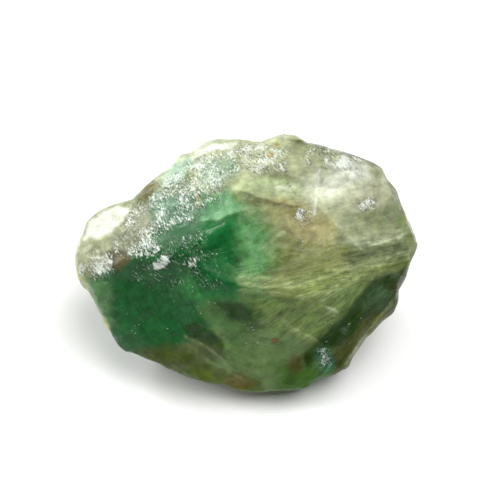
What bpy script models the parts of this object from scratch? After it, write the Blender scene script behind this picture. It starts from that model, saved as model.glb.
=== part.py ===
"""A rough lump of translucent green stone, broken from a vein and then worn smooth by water.

It is one solid piece. It lies on its flattest side, a plane of cleavage. The shape is worked out round
its heart, a point inside it, in three directions of its own:

    across  to the right, world +X
    up      away over the top of the stone, leaning back at LEAN
    out     square to both, the way the stone's best side faces

Seen along "out", the edge of the stone is OUTLINE. Its body swells in front of that edge and behind it,
and then flat facets, hollow scars, grooves and lumps shape it, as breaking and wear did.
"""

import math
from itertools import product

import bmesh
import bpy
import numpy as np

MM = 0.001

# The stone's main sizes, in millimetres.
LEAN = math.radians(52)  # how far its best side is turned up from the horizontal
SWELL_FRONT = 19.0  # how far the body stands out in front of its edge
SWELL_BACK = 27.0  # and behind it
BODY_POWER = 2.35  # 2 is an ellipsoid, more is fuller
FOOT_DEPTH = 20.2  # from the heart straight down to the foot, before it is worn level
FOOT_FLAT = 1.2  # how much of the foot's unevenness is worn off level
FOOT_WEAR = 0.5  # how softly its edge leaves the ground
BOX_MIDDLE = (0.0, 1.56)  # where the middle of its box is from the heart, along world X and Y

GRID = 28  # squares along each side of the cube that becomes the stone

# The stone's edge as seen along "out": across and up from the heart, anticlockwise from the left tip.
OUTLINE = [
    (-36.0, 1.1), (-35.3, -2.9), (-34.0, -5.3), (-31.4, -8.6), (-30.1, -11.3), (-28.1, -14.9),
    (-26.6, -17.4), (-23.8, -19.6), (-20.2, -20.8), (-15.4, -22.1), (-13.6, -23.1), (-7.3, -25.1),
    (-5.2, -25.4), (-0.4, -26.9), (1.7, -27.1), (5.7, -26.7), (10.7, -27.0), (12.8, -26.1),
    (15.1, -24.1), (18.5, -23.3), (21.4, -21.5), (22.3, -19.7), (25.1, -15.7), (28.6, -12.2),
    (30.9, -10.4), (31.7, -8.1), (31.9, -5.6), (33.7, -2.9), (34.4, -0.4), (35.9, 3.6),
    (35.5, 6.2), (33.7, 9.8), (32.4, 12.6), (31.4, 15.5), (29.4, 17.9), (28.6, 20.0),
    (27.1, 21.0), (22.1, 22.5), (18.0, 23.9), (14.1, 25.0), (12.8, 25.2), (10.3, 26.8),
    (8.2, 27.1), (6.3, 26.7), (3.2, 25.7), (-1.5, 25.9), (-6.0, 25.9), (-9.0, 25.0),
    (-11.6, 23.0), (-13.7, 22.6), (-15.6, 20.2), (-19.7, 17.3), (-22.5, 14.6), (-23.8, 13.3),
    (-27.9, 12.3), (-31.4, 10.7), (-33.7, 8.5), (-34.2, 6.2), (-35.5, 3.7),
]  # fmt: skip
OUTLINE_BLUR = 7.0  # degrees: what is finer than this belongs to the edge alone
EDGE_REACH = 0.30  # how far from the edge, as a sine, its fine bends reach

# Flat facets: the way each faces (across, up, out), how far it is from the heart, and how worn its edge is.
FACETS = {
    "pale_top": ((0.25, 0.20, 0.95), 17.0, 1.4),
    "top_slope": ((0.05, 0.66, 0.75), 22.0, 1.2),
    "left_top": ((-0.30, 0.34, 0.89), 18.6, 1.4),
    "left_shoulder": ((-0.55, 0.22, 0.80), 22.6, 1.6),
    "left_nose": ((-0.86, 0.16, 0.48), 32.2, 1.6),
    "upper_left": ((-0.46, 0.62, 0.64), 20.9, 1.0),
    "lower_left": ((-0.34, -0.42, 0.84), 17.6, 0.9),
    "left_foot": ((-0.60, -0.52, 0.60), 24.2, 1.2),
    "lower_middle": ((-0.02, -0.66, 0.75), 20.0, 0.8),
    "striated": ((0.30, -0.54, 0.79), 19.7, 0.8),
    "right_low": ((0.62, -0.36, 0.70), 23.0, 0.8),
    "right_rim": ((0.80, -0.08, 0.60), 28.8, 1.4),
    "right_corner": ((0.62, 0.54, 0.57), 28.6, 1.2),
    "top_rim": ((0.16, 0.86, 0.48), 26.6, 1.0),
    "back_wall": ((0.16, 0.50, -0.85), 23.6, 0.9),
    "back_top": ((-0.10, 0.86, -0.50), 26.2, 0.9),
    "back_corner": ((0.58, 0.62, -0.53), 28.6, 0.9),
    "back_right": ((0.78, -0.04, -0.62), 29.0, 0.9),
    "back_left": ((-0.50, 0.44, -0.74), 25.4, 0.9),
    "back_nose": ((-0.82, 0.02, -0.57), 30.0, 1.0),
    "under_left": ((-0.56, -0.50, -0.66), 26.2, 0.9),
    "under_right": ((0.46, -0.58, -0.67), 25.6, 0.9),
    "foot": ((0.0, -math.cos(LEAN), -math.sin(LEAN)), FOOT_DEPTH, 2.4),
}
FACET_WAVE = 0.35  # how far each facet's own face rolls in and out of its plane
FACET_GRAIN = 7.0  # and how far apart its rolls are
LEAST_COSINE = 0.02  # a plane that is more nearly edge on than this cuts nothing
EDGE_KEPT = 0.16  # how far from the edge, as a sine, the facets leave it whole

# Hollow scars: the way to the middle of each, its depth below the surface there, and the radius of its bowl.
SCARS = {
    "green_hollow": ((-4.5, 1.0, 17.0), 2.3, 14.0),
    "green_step": ((-7.0, 10.5, 14.0), 1.0, 12.0),
    "pale_hollow": ((14.0, 12.0, 14.0), 0.8, 50.0),
    "front_hollow": ((-19.0, -9.0, 13.0), 0.9, 34.0),
    "foot_hollow": ((2.0, -17.0, 12.0), 0.8, 26.0),
    "right_hollow": ((26.0, 5.0, 9.0), 0.7, 24.0),
    "back_hollow": ((6.0, 10.0, -22.0), 1.6, 34.0),
    "side_hollow": ((-17.0, 4.0, -18.0), 1.1, 30.0),
    "far_hollow": ((20.0, 12.0, -16.0), 1.1, 26.0),
    "nose_hollow": ((-28.0, -6.0, -9.0), 0.9, 24.0),
}
SCAR_WEAR = 0.7
FEEL = 0.12  # how widely the surface is felt, as a sine, for the way that a scar or a chip faces

# Grooves on the best side, from one end to the other (across, up), with their half width and depth.
GROOVES = {
    "dark_valley": ((11.5, -18.5), (31.0, -1.0), 2.2, 1.5),
    "shoulder_notch": ((-23.5, 15.0), (-18.0, 6.0), 1.8, 0.9),
    "left_fold": ((-32.0, -2.5), (-17.0, -4.5), 1.5, 0.5),
    "high_ledge": ((13.0, 3.0), (34.0, 5.5), 1.1, 0.5),
    "low_ledge": ((15.0, -3.0), (32.5, 0.5), 1.0, 0.5),
    "pale_ledge": ((4.0, 17.5), (21.0, 14.0), 1.3, 0.5),
}
GROOVE_SWAY = 0.9  # how far a groove wanders from its line
GROOVE_GRAIN = 6.0
GROOVE_FADE = 6.0  # a groove has its full depth this far in front of the heart, and none level with it

# Small flat chips all round, worn almost away.
CHIPS = 120
CHIP_SEED = 19
CHIP_PUSH = 0.15  # how far each is pushed from its even place, as a sine
CHIP_CLEAR = 0.5  # none is this near to the ways in CHIP_FREE, as a sine
CHIP_FREE = (SCARS["green_hollow"][0], SCARS["front_hollow"][0], FACETS["foot"][0])
CHIP_DEPTH = (0.12, 0.50)
CHIP_SIZE = (1.6, 4.6)  # the radius that is flat
CHIP_TILT = 0.12  # how far its flat leans from the surface there, as a tangent
CHIP_SWAY = 1.5  # how far its edge wanders
CHIP_GRAIN = 4.0
CHIP_WEAR = 0.25
CHIP_RISE = 0.18  # how steeply its side climbs beyond its flat

LUMPS = ((9.0, 0.28), (4.5, 0.18))  # the width of its low lumps, and how high they are

# Each noise takes its own seed.
FACET_SEED = 20
CHIP_SEEDS = (51, 52, 53)
GROOVE_SEEDS = (5, 6)
LUMP_SEED = 1


def unit(vectors):
    """Each vector over its own length."""
    vectors = np.asarray(vectors, float)
    return vectors / np.linalg.norm(vectors, axis=-1, keepdims=True)


def lattice_random(cells, seed):
    """Three numbers from -1 to 1 for each cell of a lattice, from mixing its whole-number place with seed."""
    mixed = cells @ np.array([73856093, 19349663, 83492791]) + seed * 2654435
    mixed = (mixed ^ (mixed >> 13)) * 1274126177
    mixed = mixed ^ (mixed >> 16)
    return np.stack([(mixed >> shift) & 255 for shift in (0, 8, 16)], axis=1) / 127.5 - 1


def noise(points, grain, seed):
    """Smooth noise from about -1 to 1: a random slope at each corner of a lattice of side grain, blended."""
    cell = points / grain + 31.7 * seed
    base = np.floor(cell).astype(np.int64)
    part = cell - base
    fade = part**3 * (part * (part * 6 - 15) + 10)
    total = np.zeros(len(points))
    for corner in product((0, 1), repeat=3):
        slope = lattice_random(base + corner, seed)
        weight = np.prod(np.where(corner, fade, 1 - fade), axis=1)
        total += weight * np.sum(slope * (part - corner), axis=1)
    return total * 1.4


def swayed(points, grain, seeds):
    """One noise for each of seeds, side by side."""
    return np.stack([noise(points, grain, seed) for seed in seeds], axis=1)


def lower(a, b, wear):
    """The smaller of a and b, with the edge where they meet rounded over wear."""
    near = np.clip(1 - np.abs(a - b) / wear, 0, 1)
    return np.minimum(a, b) - near**2 * wear / 4


def outline_radius(angles, blur):
    """The distance from the heart to OUTLINE at each angle, with bends finer than blur degrees left out."""
    across, up = np.array(OUTLINE).T
    corner_angles = np.arctan2(up, across)
    order = np.argsort(corner_angles)
    steps = np.radians(np.arange(360))
    radii = np.interp(
        steps, corner_angles[order], np.hypot(across, up)[order], period=2 * np.pi
    )
    if blur:
        away = np.minimum(np.arange(360), 360 - np.arange(360))
        weight = np.exp(-0.5 * (away / blur) ** 2)
        radii = np.fft.ifft(np.fft.fft(radii) * np.fft.fft(weight / weight.sum())).real
    return np.interp(angles, steps, radii, period=2 * np.pi)


def body(ways):
    """The plain swollen body: a superellipse from the edge to its front and its back, in each way."""
    across, up, out = ways.T
    angles = np.arctan2(up, across)
    broad = outline_radius(angles, OUTLINE_BLUR)
    fine = outline_radius(angles, 0) - broad
    rim = broad + fine * np.exp(-((out / EDGE_REACH) ** 2))
    swell = np.where(out > 0, SWELL_FRONT, SWELL_BACK)
    flat = np.hypot(across, up) / rim
    return (flat**BODY_POWER + np.abs(out / swell) ** BODY_POWER) ** (-1 / BODY_POWER)


def faceted(ways):
    """The body with its facets: along a way, a plane is its distance over the cosine."""
    reach = body(ways)
    for number, (facing, distance, wear) in enumerate(FACETS.values()):
        cosine = ways @ unit(facing)
        wave = FACET_WAVE * noise(ways * distance, FACET_GRAIN, FACET_SEED + number)
        reach = lower(reach, (distance + wave) / np.maximum(cosine, LEAST_COSINE), wear)
    return ways * reach[:, None]


def seats(surface, ways):
    """Where a surface is in each way, and which way it faces there, felt from four places close round."""
    side = unit(np.cross(ways, np.eye(3)[np.argmin(np.abs(ways), axis=1)])) * FEEL
    turned = np.cross(ways, side)
    felt = np.concatenate([ways, ways + side, ways - side, ways + turned, ways - turned])
    middles, right, left, far, near = surface(unit(felt)).reshape(5, -1, 3)
    facings = unit(np.cross(right - left, far - near))
    return middles, facings * np.sign(np.sum(facings * middles, axis=1, keepdims=True))


def scoop(points, middle, facing, depth, size, rise, wear, sway=0.0):
    """A cut square to facing: flat within size of its middle, then climbing as the square.

    sway moves each point while its distance from the middle is measured, so that the cut's edge wanders.
    """
    offset = points - middle
    height = offset @ facing
    wide = offset + sway
    aside = np.linalg.norm(wide - np.outer(wide @ facing, facing), axis=1)
    above = height + depth - rise * np.maximum(aside - size, 0) ** 2
    return points - np.outer(above - lower(above, 0.0, wear), facing)


def scarred(ways):
    """The body with its facets and its scars, and its edge left whole."""
    points = faceted(ways)
    middles, facings = seats(faceted, unit([middle for middle, _, _ in SCARS.values()]))
    for (_, depth, radius), middle, facing in zip(SCARS.values(), middles, facings):
        points = scoop(points, middle, facing, depth, 0.0, 0.5 / radius, SCAR_WEAR)
    edge = np.exp(-((ways[:, 2:] / EDGE_KEPT) ** 2))
    return points + (ways * body(ways)[:, None] - points) * edge


def spread(count):
    """Evenly spread ways on a golden-angle spiral round a ball."""
    steps = np.arange(count) + 0.5
    lift = 1 - 2 * steps / count
    turn = steps * math.pi * (3 - math.sqrt(5))
    ring = np.sqrt(1 - lift**2)
    return np.stack([ring * np.cos(turn), ring * np.sin(turn), lift], axis=1)


def chipped(ways):
    """The stone with its chips, which are spread evenly and then pushed about."""
    dice = np.random.default_rng(CHIP_SEED)
    spots = unit(spread(CHIPS) + CHIP_PUSH * dice.uniform(-1, 1, (CHIPS, 3)))
    depths = dice.uniform(*CHIP_DEPTH, CHIPS)
    sizes = dice.uniform(*CHIP_SIZE, CHIPS)
    tilts = CHIP_TILT * dice.uniform(-1, 1, (CHIPS, 3))
    clear = [np.linalg.norm(spots - unit(way), axis=1) > CHIP_CLEAR for way in CHIP_FREE]
    points = scarred(ways)
    sway = CHIP_SWAY * swayed(points, CHIP_GRAIN, CHIP_SEEDS)
    middles, facings = seats(scarred, spots)
    chips = zip(middles, unit(facings + tilts), depths, sizes, np.all(clear, axis=0))
    for middle, facing, depth, size, kept in chips:
        if kept:
            points = scoop(points, middle, facing, depth, size, CHIP_RISE, CHIP_WEAR, sway)
    return points


def grooved(points):
    """Worn channels on the best side: as deep as given on their line, less away from it and at their ends."""
    spot = points[:, :2] + GROOVE_SWAY * swayed(points, GROOVE_GRAIN, GROOVE_SEEDS)
    for start, end, width, depth in GROOVES.values():
        run = np.subtract(end, start)
        share = np.clip((spot - start) @ run / (run @ run), 0, 1)
        gap = np.linalg.norm(spot - start - share[:, None] * run, axis=1)
        lost = depth * np.exp(-((gap / width) ** 2)) * np.clip(points[:, 2] / GROOVE_FADE, 0, 1)
        points = points - np.outer(lost, (0, 0, 1))
    return points


def stone_points(ways):
    """Where the stone's surface is in each way from the heart, in millimetres, in its own directions."""
    points = grooved(chipped(ways))
    lumps = [high * noise(points, wide, LUMP_SEED + number) for number, (wide, high) in enumerate(LUMPS)]
    return points + ways * sum(lumps)[:, None]


def standing(points):
    """Turns the stone's own directions into world ones, with its foot cut flat at zero height."""
    across, up, out = points.T
    depth = up * math.sin(LEAN) - out * math.cos(LEAN)
    height = up * math.cos(LEAN) + out * math.sin(LEAN) + FOOT_DEPTH - FOOT_FLAT
    height = -lower(-height, 0.0, FOOT_WEAR)
    return np.stack([across - BOX_MIDDLE[0], depth - BOX_MIDDLE[1], height], axis=1)


def make_stone():
    """A cube of GRID squares a side, blown up into the stone."""
    mesh = bpy.data.meshes.new("stone")
    shape = bmesh.new()
    bmesh.ops.create_cube(shape, size=2)
    bmesh.ops.subdivide_edges(shape, edges=shape.edges, cuts=GRID - 1, use_grid_fill=True)
    shape.to_mesh(mesh)
    shape.free()
    corners = np.empty(len(mesh.vertices) * 3)
    mesh.vertices.foreach_get("co", corners)
    ways = unit(np.tan(corners.reshape(-1, 3) * math.pi / 4))
    mesh.vertices.foreach_set("co", (standing(stone_points(ways)) * MM).ravel())
    mesh.update()
    stone = bpy.data.objects.new("stone", mesh)
    bpy.context.collection.objects.link(stone)
    return stone


def green_stone():
    """Glassy green stone."""
    material = bpy.data.materials.new("green_stone")
    material.use_nodes = True
    finish = material.node_tree.nodes["Principled BSDF"]
    finish.inputs["Base Color"].default_value = (0.22, 0.42, 0.20, 1)
    finish.inputs["Roughness"].default_value = 0.25
    finish.inputs["Metallic"].default_value = 0.0
    return material


def main():
    for obj in list(bpy.data.objects):
        bpy.data.objects.remove(obj)
    stone = make_stone()
    stone.data.materials.append(green_stone())
    stone.data.shade_smooth()


main()
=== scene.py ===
"""The looks of a rough green stone, laid on a pale floor in soft studio light.

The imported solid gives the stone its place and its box. Its fine surface is worked out here, in millimetres
round the stone's heart, a point inside it, in three directions of its own: across, which is world +X, up,
away over its top, and out, square to both, the way its best side faces.
"""

import math
from itertools import product

import bpy
import numpy as np
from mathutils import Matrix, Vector


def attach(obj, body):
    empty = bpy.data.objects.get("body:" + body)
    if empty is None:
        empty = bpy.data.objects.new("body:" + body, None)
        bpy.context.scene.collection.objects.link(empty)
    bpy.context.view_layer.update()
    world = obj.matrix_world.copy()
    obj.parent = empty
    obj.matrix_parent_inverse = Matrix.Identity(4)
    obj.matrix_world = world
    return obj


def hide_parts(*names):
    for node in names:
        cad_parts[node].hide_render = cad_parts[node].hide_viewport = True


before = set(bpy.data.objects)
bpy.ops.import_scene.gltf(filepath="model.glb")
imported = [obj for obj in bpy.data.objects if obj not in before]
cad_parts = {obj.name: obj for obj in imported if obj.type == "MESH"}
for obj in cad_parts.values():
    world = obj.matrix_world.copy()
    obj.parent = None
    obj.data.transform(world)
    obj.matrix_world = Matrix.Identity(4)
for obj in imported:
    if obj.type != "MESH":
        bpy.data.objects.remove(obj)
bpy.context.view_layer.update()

# The lump.
# A vein of the mineral broke into rough lumps, and water rolled this one. Its body is a swollen form, whose
# edge is OUTLINE as seen along "out", and its facets are the cleavage planes along which it broke.

LEAN = math.radians(52)  # how far its best side is turned up from the horizontal
SWELL_FRONT = 19.0  # how far the body stands out in front of its edge
SWELL_BACK = 27.0  # and behind it
BODY_POWER = 2.35  # 2 is an ellipsoid, more is fuller
FOOT_DEPTH = 20.2  # from the heart straight down to the foot, before it is worn level

# The stone's edge as seen along "out": across and up from the heart, anticlockwise from the left tip.
OUTLINE = [
    (-36, 1.1), (-35.3, -2.9), (-34, -5.3), (-31.4, -8.6), (-30.1, -11.3), (-28.1, -14.9),
    (-26.6, -17.4), (-23.8, -19.6), (-20.2, -20.8), (-15.4, -22.1), (-13.6, -23.1), (-7.3, -25.1),
    (-5.2, -25.4), (-0.4, -26.9), (1.7, -27.1), (5.7, -26.7), (10.7, -27), (12.8, -26.1),
    (15.1, -24.1), (18.5, -23.3), (21.4, -21.5), (22.3, -19.7), (25.1, -15.7), (28.6, -12.2),
    (30.9, -10.4), (31.7, -8.1), (31.9, -5.6), (33.7, -2.9), (34.4, -0.4), (35.9, 3.6),
    (35.5, 6.2), (33.7, 9.8), (32.4, 12.6), (31.4, 15.5), (29.4, 17.9), (28.6, 20),
    (27.1, 21), (22.1, 22.5), (18, 23.9), (14.1, 25), (12.8, 25.2), (10.3, 26.8),
    (8.2, 27.1), (6.3, 26.7), (3.2, 25.7), (-1.5, 25.9), (-6, 25.9), (-9, 25),
    (-11.6, 23), (-13.7, 22.6), (-15.6, 20.2), (-19.7, 17.3), (-22.5, 14.6), (-23.8, 13.3),
    (-27.9, 12.3), (-31.4, 10.7), (-33.7, 8.5), (-34.2, 6.2), (-35.5, 3.7),
]  # fmt: skip
OUTLINE_BLUR = 7.0  # degrees: what is finer than this belongs to the edge alone
EDGE_REACH = 0.30  # how far from the edge, as a sine, its fine bends reach

# Flat facets: the way each faces (across, up, out), how far it is from the heart, and how worn its edge is.
FACETS = {
    "pale_top": ((0.25, 0.20, 0.95), 17, 1.4),
    "top_slope": ((0.05, 0.66, 0.75), 22, 1.2),
    "left_top": ((-0.30, 0.34, 0.89), 18.6, 1.4),
    "left_shoulder": ((-0.55, 0.22, 0.80), 22.6, 1.6),
    "left_nose": ((-0.86, 0.16, 0.48), 32.2, 1.6),
    "upper_left": ((-0.46, 0.62, 0.64), 20.9, 1),
    "lower_left": ((-0.34, -0.42, 0.84), 17.6, 0.9),
    "left_foot": ((-0.60, -0.52, 0.60), 24.2, 1.2),
    "lower_middle": ((-0.02, -0.66, 0.75), 20, 0.8),
    "striated": ((0.30, -0.54, 0.79), 19.7, 0.8),
    "right_low": ((0.62, -0.36, 0.70), 23, 0.8),
    "right_rim": ((0.80, -0.08, 0.60), 28.8, 1.4),
    "right_corner": ((0.62, 0.54, 0.57), 28.6, 1.2),
    "top_rim": ((0.16, 0.86, 0.48), 26.6, 1),
    "back_wall": ((0.16, 0.50, -0.85), 23.6, 0.9),
    "back_top": ((-0.10, 0.86, -0.50), 26.2, 0.9),
    "back_corner": ((0.58, 0.62, -0.53), 28.6, 0.9),
    "back_right": ((0.78, -0.04, -0.62), 29, 0.9),
    "back_left": ((-0.50, 0.44, -0.74), 25.4, 0.9),
    "back_nose": ((-0.82, 0.02, -0.57), 30, 1),
    "under_left": ((-0.56, -0.50, -0.66), 26.2, 0.9),
    "under_right": ((0.46, -0.58, -0.67), 25.6, 0.9),
    "foot": ((0, -math.cos(LEAN), -math.sin(LEAN)), FOOT_DEPTH, 2.4),
}
FACET_WAVE = 0.35  # how far each facet's own face rolls in and out of its plane
FACET_GRAIN = 7.0  # and how far apart its rolls are
FACET_SEED = 20
LEAST_COSINE = 0.02  # a plane that is more nearly edge on than this cuts nothing

# How the noise that roughens every surface is made.
LATTICE_PRIMES = (73856093, 19349663, 83492791)  # they mix a cell's place into one number
SEED_STRIDE = 2654435
BIT_MIXER = 1274126177
SEED_SHIFT = 31.7  # how many cells each seed moves the lattice
NOISE_SPREAD = 1.4  # brings its peaks to about 1


def unit(vectors):
    """Each vector over its own length."""
    vectors = np.asarray(vectors, float)
    return vectors / np.linalg.norm(vectors, axis=-1, keepdims=True)


def lattice_random(cells, seed):
    """Three numbers from -1 to 1 for each cell of a lattice, from mixing its whole-number place with seed."""
    mixed = cells @ np.array(LATTICE_PRIMES) + seed * SEED_STRIDE
    mixed = (mixed ^ (mixed >> 13)) * BIT_MIXER
    mixed = mixed ^ (mixed >> 16)
    return np.stack([(mixed >> shift) & 255 for shift in (0, 8, 16)], axis=1) / 127.5 - 1


def noise(points, grain, seed):
    """Smooth noise from about -1 to 1: a random slope at each corner of a lattice of side grain, blended."""
    cell = points / grain + SEED_SHIFT * seed
    base = np.floor(cell).astype(np.int64)
    part = cell - base
    fade = part**3 * (part * (part * 6 - 15) + 10)
    total = np.zeros(len(points))
    for corner in product((0, 1), repeat=3):
        slope = lattice_random(base + corner, seed)
        weight = np.prod(np.where(corner, fade, 1 - fade), axis=1)
        total += weight * np.sum(slope * (part - corner), axis=1)
    return total * NOISE_SPREAD


def lower(a, b, wear):
    """The smaller of a and b, with the edge where they meet rounded over wear."""
    near = np.clip(1 - np.abs(a - b) / wear, 0, 1)
    return np.minimum(a, b) - near**2 * wear / 4


def outline_radius(angles, blur):
    """The distance from the heart to OUTLINE at each angle, with bends finer than blur degrees left out."""
    across, up = np.array(OUTLINE).T
    corner_angles = np.arctan2(up, across)
    order = np.argsort(corner_angles)
    degrees = np.arange(360)
    steps = np.radians(degrees)
    radii = np.interp(steps, corner_angles[order], np.hypot(across, up)[order], period=2 * np.pi)
    if blur:
        away = np.minimum(degrees, 360 - degrees)
        weight = np.exp(-0.5 * (away / blur) ** 2)
        radii = np.fft.ifft(np.fft.fft(radii) * np.fft.fft(weight / weight.sum())).real
    return np.interp(angles, steps, radii, period=2 * np.pi)


def body(ways):
    """The plain swollen body: a superellipse from the edge to its front and its back, in each way."""
    across, up, out = ways.T
    angles = np.arctan2(up, across)
    broad = outline_radius(angles, OUTLINE_BLUR)
    fine = outline_radius(angles, 0) - broad
    rim = broad + fine * np.exp(-((out / EDGE_REACH) ** 2))
    swell = np.where(out > 0, SWELL_FRONT, SWELL_BACK)
    flat = np.hypot(across, up) / rim
    return (flat**BODY_POWER + np.abs(out / swell) ** BODY_POWER) ** (-1 / BODY_POWER)


def faceted(ways):
    """The body with its facets: along a way, a plane is its distance over the cosine."""
    reach = body(ways)
    for number, (facing, distance, wear) in enumerate(FACETS.values()):
        cosine = ways @ unit(facing)
        wave = FACET_WAVE * noise(ways * distance, FACET_GRAIN, FACET_SEED + number)
        reach = lower(reach, (distance + wave) / np.maximum(cosine, LEAST_COSINE), wear)
    return ways * reach[:, None]


# Scars, chips and grooves.
# Shell-shaped hollows where pieces sprang off, small flats knocked off its corners as it rolled, and worn
# channels along old cracks. Each scar and chip is cut square to the surface there.

# Hollow scars: the way to the middle of each, its depth below the surface there, and the radius of its bowl.
SCARS = {
    "green_hollow": ((-4.5, 1, 17), 2.3, 14),
    "green_step": ((-7, 10.5, 14), 1, 12),
    "pale_hollow": ((14, 12, 14), 0.8, 50),
    "front_hollow": ((-19, -9, 13), 0.9, 34),
    "foot_hollow": ((2, -17, 12), 0.8, 26),
    "right_hollow": ((26, 5, 9), 0.7, 24),
    "back_hollow": ((6, 10, -22), 1.6, 34),
    "side_hollow": ((-17, 4, -18), 1.1, 30),
    "far_hollow": ((20, 12, -16), 1.1, 26),
    "nose_hollow": ((-28, -6, -9), 0.9, 24),
}
SCAR_WEAR = 0.7
EDGE_KEPT = 0.16  # how far from the edge, as a sine, the facets and the scars leave it whole
FEEL = 0.12  # how widely the surface is felt, as a sine, for the way that a scar or a chip faces

# Grooves on the best side, from one end to the other (across, up), with their half width and depth.
GROOVES = {
    "dark_valley": ((11.5, -18.5), (31, -1), 2.2, 1.5),
    "shoulder_notch": ((-23.5, 15), (-18, 6), 1.8, 0.9),
    "left_fold": ((-32, -2.5), (-17, -4.5), 1.5, 0.5),
    "high_ledge": ((13, 3), (34, 5.5), 1.1, 0.5),
    "low_ledge": ((15, -3), (32.5, 0.5), 1, 0.5),
    "pale_ledge": ((4, 17.5), (21, 14), 1.3, 0.5),
}
GROOVE_SWAY = 0.9  # how far a groove wanders from its line
GROOVE_GRAIN = 6.0
GROOVE_FADE = 6.0  # a groove has its full depth this far in front of the heart, and none level with it
GROOVE_SEEDS = (5, 6)

# Small flat chips all round, worn almost away.
CHIPS = 120
CHIP_SEED = 19
CHIP_PUSH = 0.15  # how far each is pushed from its even place, as a sine
CHIP_CLEAR = 0.5  # none is this near to the ways in CHIP_FREE, as a sine
CHIP_FREE = (SCARS["green_hollow"][0], SCARS["front_hollow"][0], FACETS["foot"][0])
CHIP_DEPTH = (0.12, 0.50)
CHIP_SIZE = (1.6, 4.6)  # the radius that is flat
CHIP_TILT = 0.12  # how far its flat leans from the surface there, as a tangent
CHIP_SWAY = 1.5  # how far its edge wanders
CHIP_GRAIN = 4.0
CHIP_WEAR = 0.25
CHIP_RISE = 0.18  # how steeply its side climbs beyond its flat
CHIP_SEEDS = (51, 52, 53)

LUMPS = ((9.0, 0.28), (4.5, 0.18))  # the width of its low lumps, and how high they are
LUMP_SEED = 1


def swayed(points, grain, seeds):
    """One noise for each of seeds, side by side."""
    return np.stack([noise(points, grain, seed) for seed in seeds], axis=1)


def seats(surface, ways):
    """Where a surface is in each way, and which way it faces there, felt from four places close round."""
    side = unit(np.cross(ways, np.eye(3)[np.argmin(np.abs(ways), axis=1)])) * FEEL
    turned = np.cross(ways, side)
    felt = np.concatenate([ways, ways + side, ways - side, ways + turned, ways - turned])
    middles, right, left, far, near = surface(unit(felt)).reshape(5, -1, 3)
    facings = unit(np.cross(right - left, far - near))
    return middles, facings * np.sign(np.sum(facings * middles, axis=1, keepdims=True))


def scoop(points, middle, facing, depth, size, rise, wear, sway=0.0):
    """A cut square to facing: flat within size of its middle, then climbing as the square.

    sway moves each point while its distance from the middle is measured, so that the cut's edge wanders.
    """
    offset = points - middle
    height = offset @ facing
    wide = offset + sway
    aside = np.linalg.norm(wide - np.outer(wide @ facing, facing), axis=1)
    above = height + depth - rise * np.maximum(aside - size, 0) ** 2
    return points - np.outer(above - lower(above, 0.0, wear), facing)


def scarred(ways):
    """The body with its facets and its scars, and its edge left whole."""
    points = faceted(ways)
    middles, facings = seats(faceted, unit([middle for middle, _, _ in SCARS.values()]))
    for (_, depth, radius), middle, facing in zip(SCARS.values(), middles, facings):
        points = scoop(points, middle, facing, depth, 0.0, 0.5 / radius, SCAR_WEAR)
    edge = np.exp(-((ways[:, 2:] / EDGE_KEPT) ** 2))
    return points + (ways * body(ways)[:, None] - points) * edge


def spread(count):
    """Evenly spread ways on a golden-angle spiral round a ball."""
    steps = np.arange(count) + 0.5
    lift = 1 - 2 * steps / count
    turn = steps * math.pi * (3 - math.sqrt(5))
    ring = np.sqrt(1 - lift**2)
    return np.stack([ring * np.cos(turn), ring * np.sin(turn), lift], axis=1)


def chipped(ways):
    """The stone with its chips, which are spread evenly and then pushed about."""
    dice = np.random.default_rng(CHIP_SEED)
    spots = unit(spread(CHIPS) + CHIP_PUSH * dice.uniform(-1, 1, (CHIPS, 3)))
    depths = dice.uniform(*CHIP_DEPTH, CHIPS)
    sizes = dice.uniform(*CHIP_SIZE, CHIPS)
    tilts = CHIP_TILT * dice.uniform(-1, 1, (CHIPS, 3))
    clear = [np.linalg.norm(spots - unit(way), axis=1) > CHIP_CLEAR for way in CHIP_FREE]
    points = scarred(ways)
    sway = CHIP_SWAY * swayed(points, CHIP_GRAIN, CHIP_SEEDS)
    middles, facings = seats(scarred, spots)
    chips = zip(middles, unit(facings + tilts), depths, sizes, np.all(clear, axis=0))
    for middle, facing, depth, size, kept in chips:
        if kept:
            points = scoop(points, middle, facing, depth, size, CHIP_RISE, CHIP_WEAR, sway)
    return points


def gap_to(spot, start, end):
    """How far each point is from the line between two ends: its offset less its run along the line."""
    run = np.subtract(end, start)
    offset = spot - start
    share = np.clip(offset @ run / (run @ run), 0, 1)
    return np.linalg.norm(offset - share[:, None] * run, axis=1)


def grooved(points):
    """Worn channels on the best side: as deep as given on their line, and less away from it."""
    spot = points[:, :2] + GROOVE_SWAY * swayed(points, GROOVE_GRAIN, GROOVE_SEEDS)
    for start, end, width, depth in GROOVES.values():
        gap = gap_to(spot, start, end)
        lost = depth * np.exp(-((gap / width) ** 2)) * np.clip(points[:, 2] / GROOVE_FADE, 0, 1)
        points = points - np.outer(lost, (0, 0, 1))
    return points


def stone_points(ways):
    """Where the stone's surface is in each way from the heart, in millimetres, in its own directions."""
    points = grooved(chipped(ways))
    lumps = [high * noise(points, wide, LUMP_SEED + number) for number, (wide, high) in enumerate(LUMPS)]
    return points + ways * sum(lumps)[:, None]


# The skin.
# The surface of the one solid lump. Breaking left a sparkling crust of small crystal faces along its upper
# left, and torn steps where cleavage planes ran out on its right. Rolling left small nicks everywhere.

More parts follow.
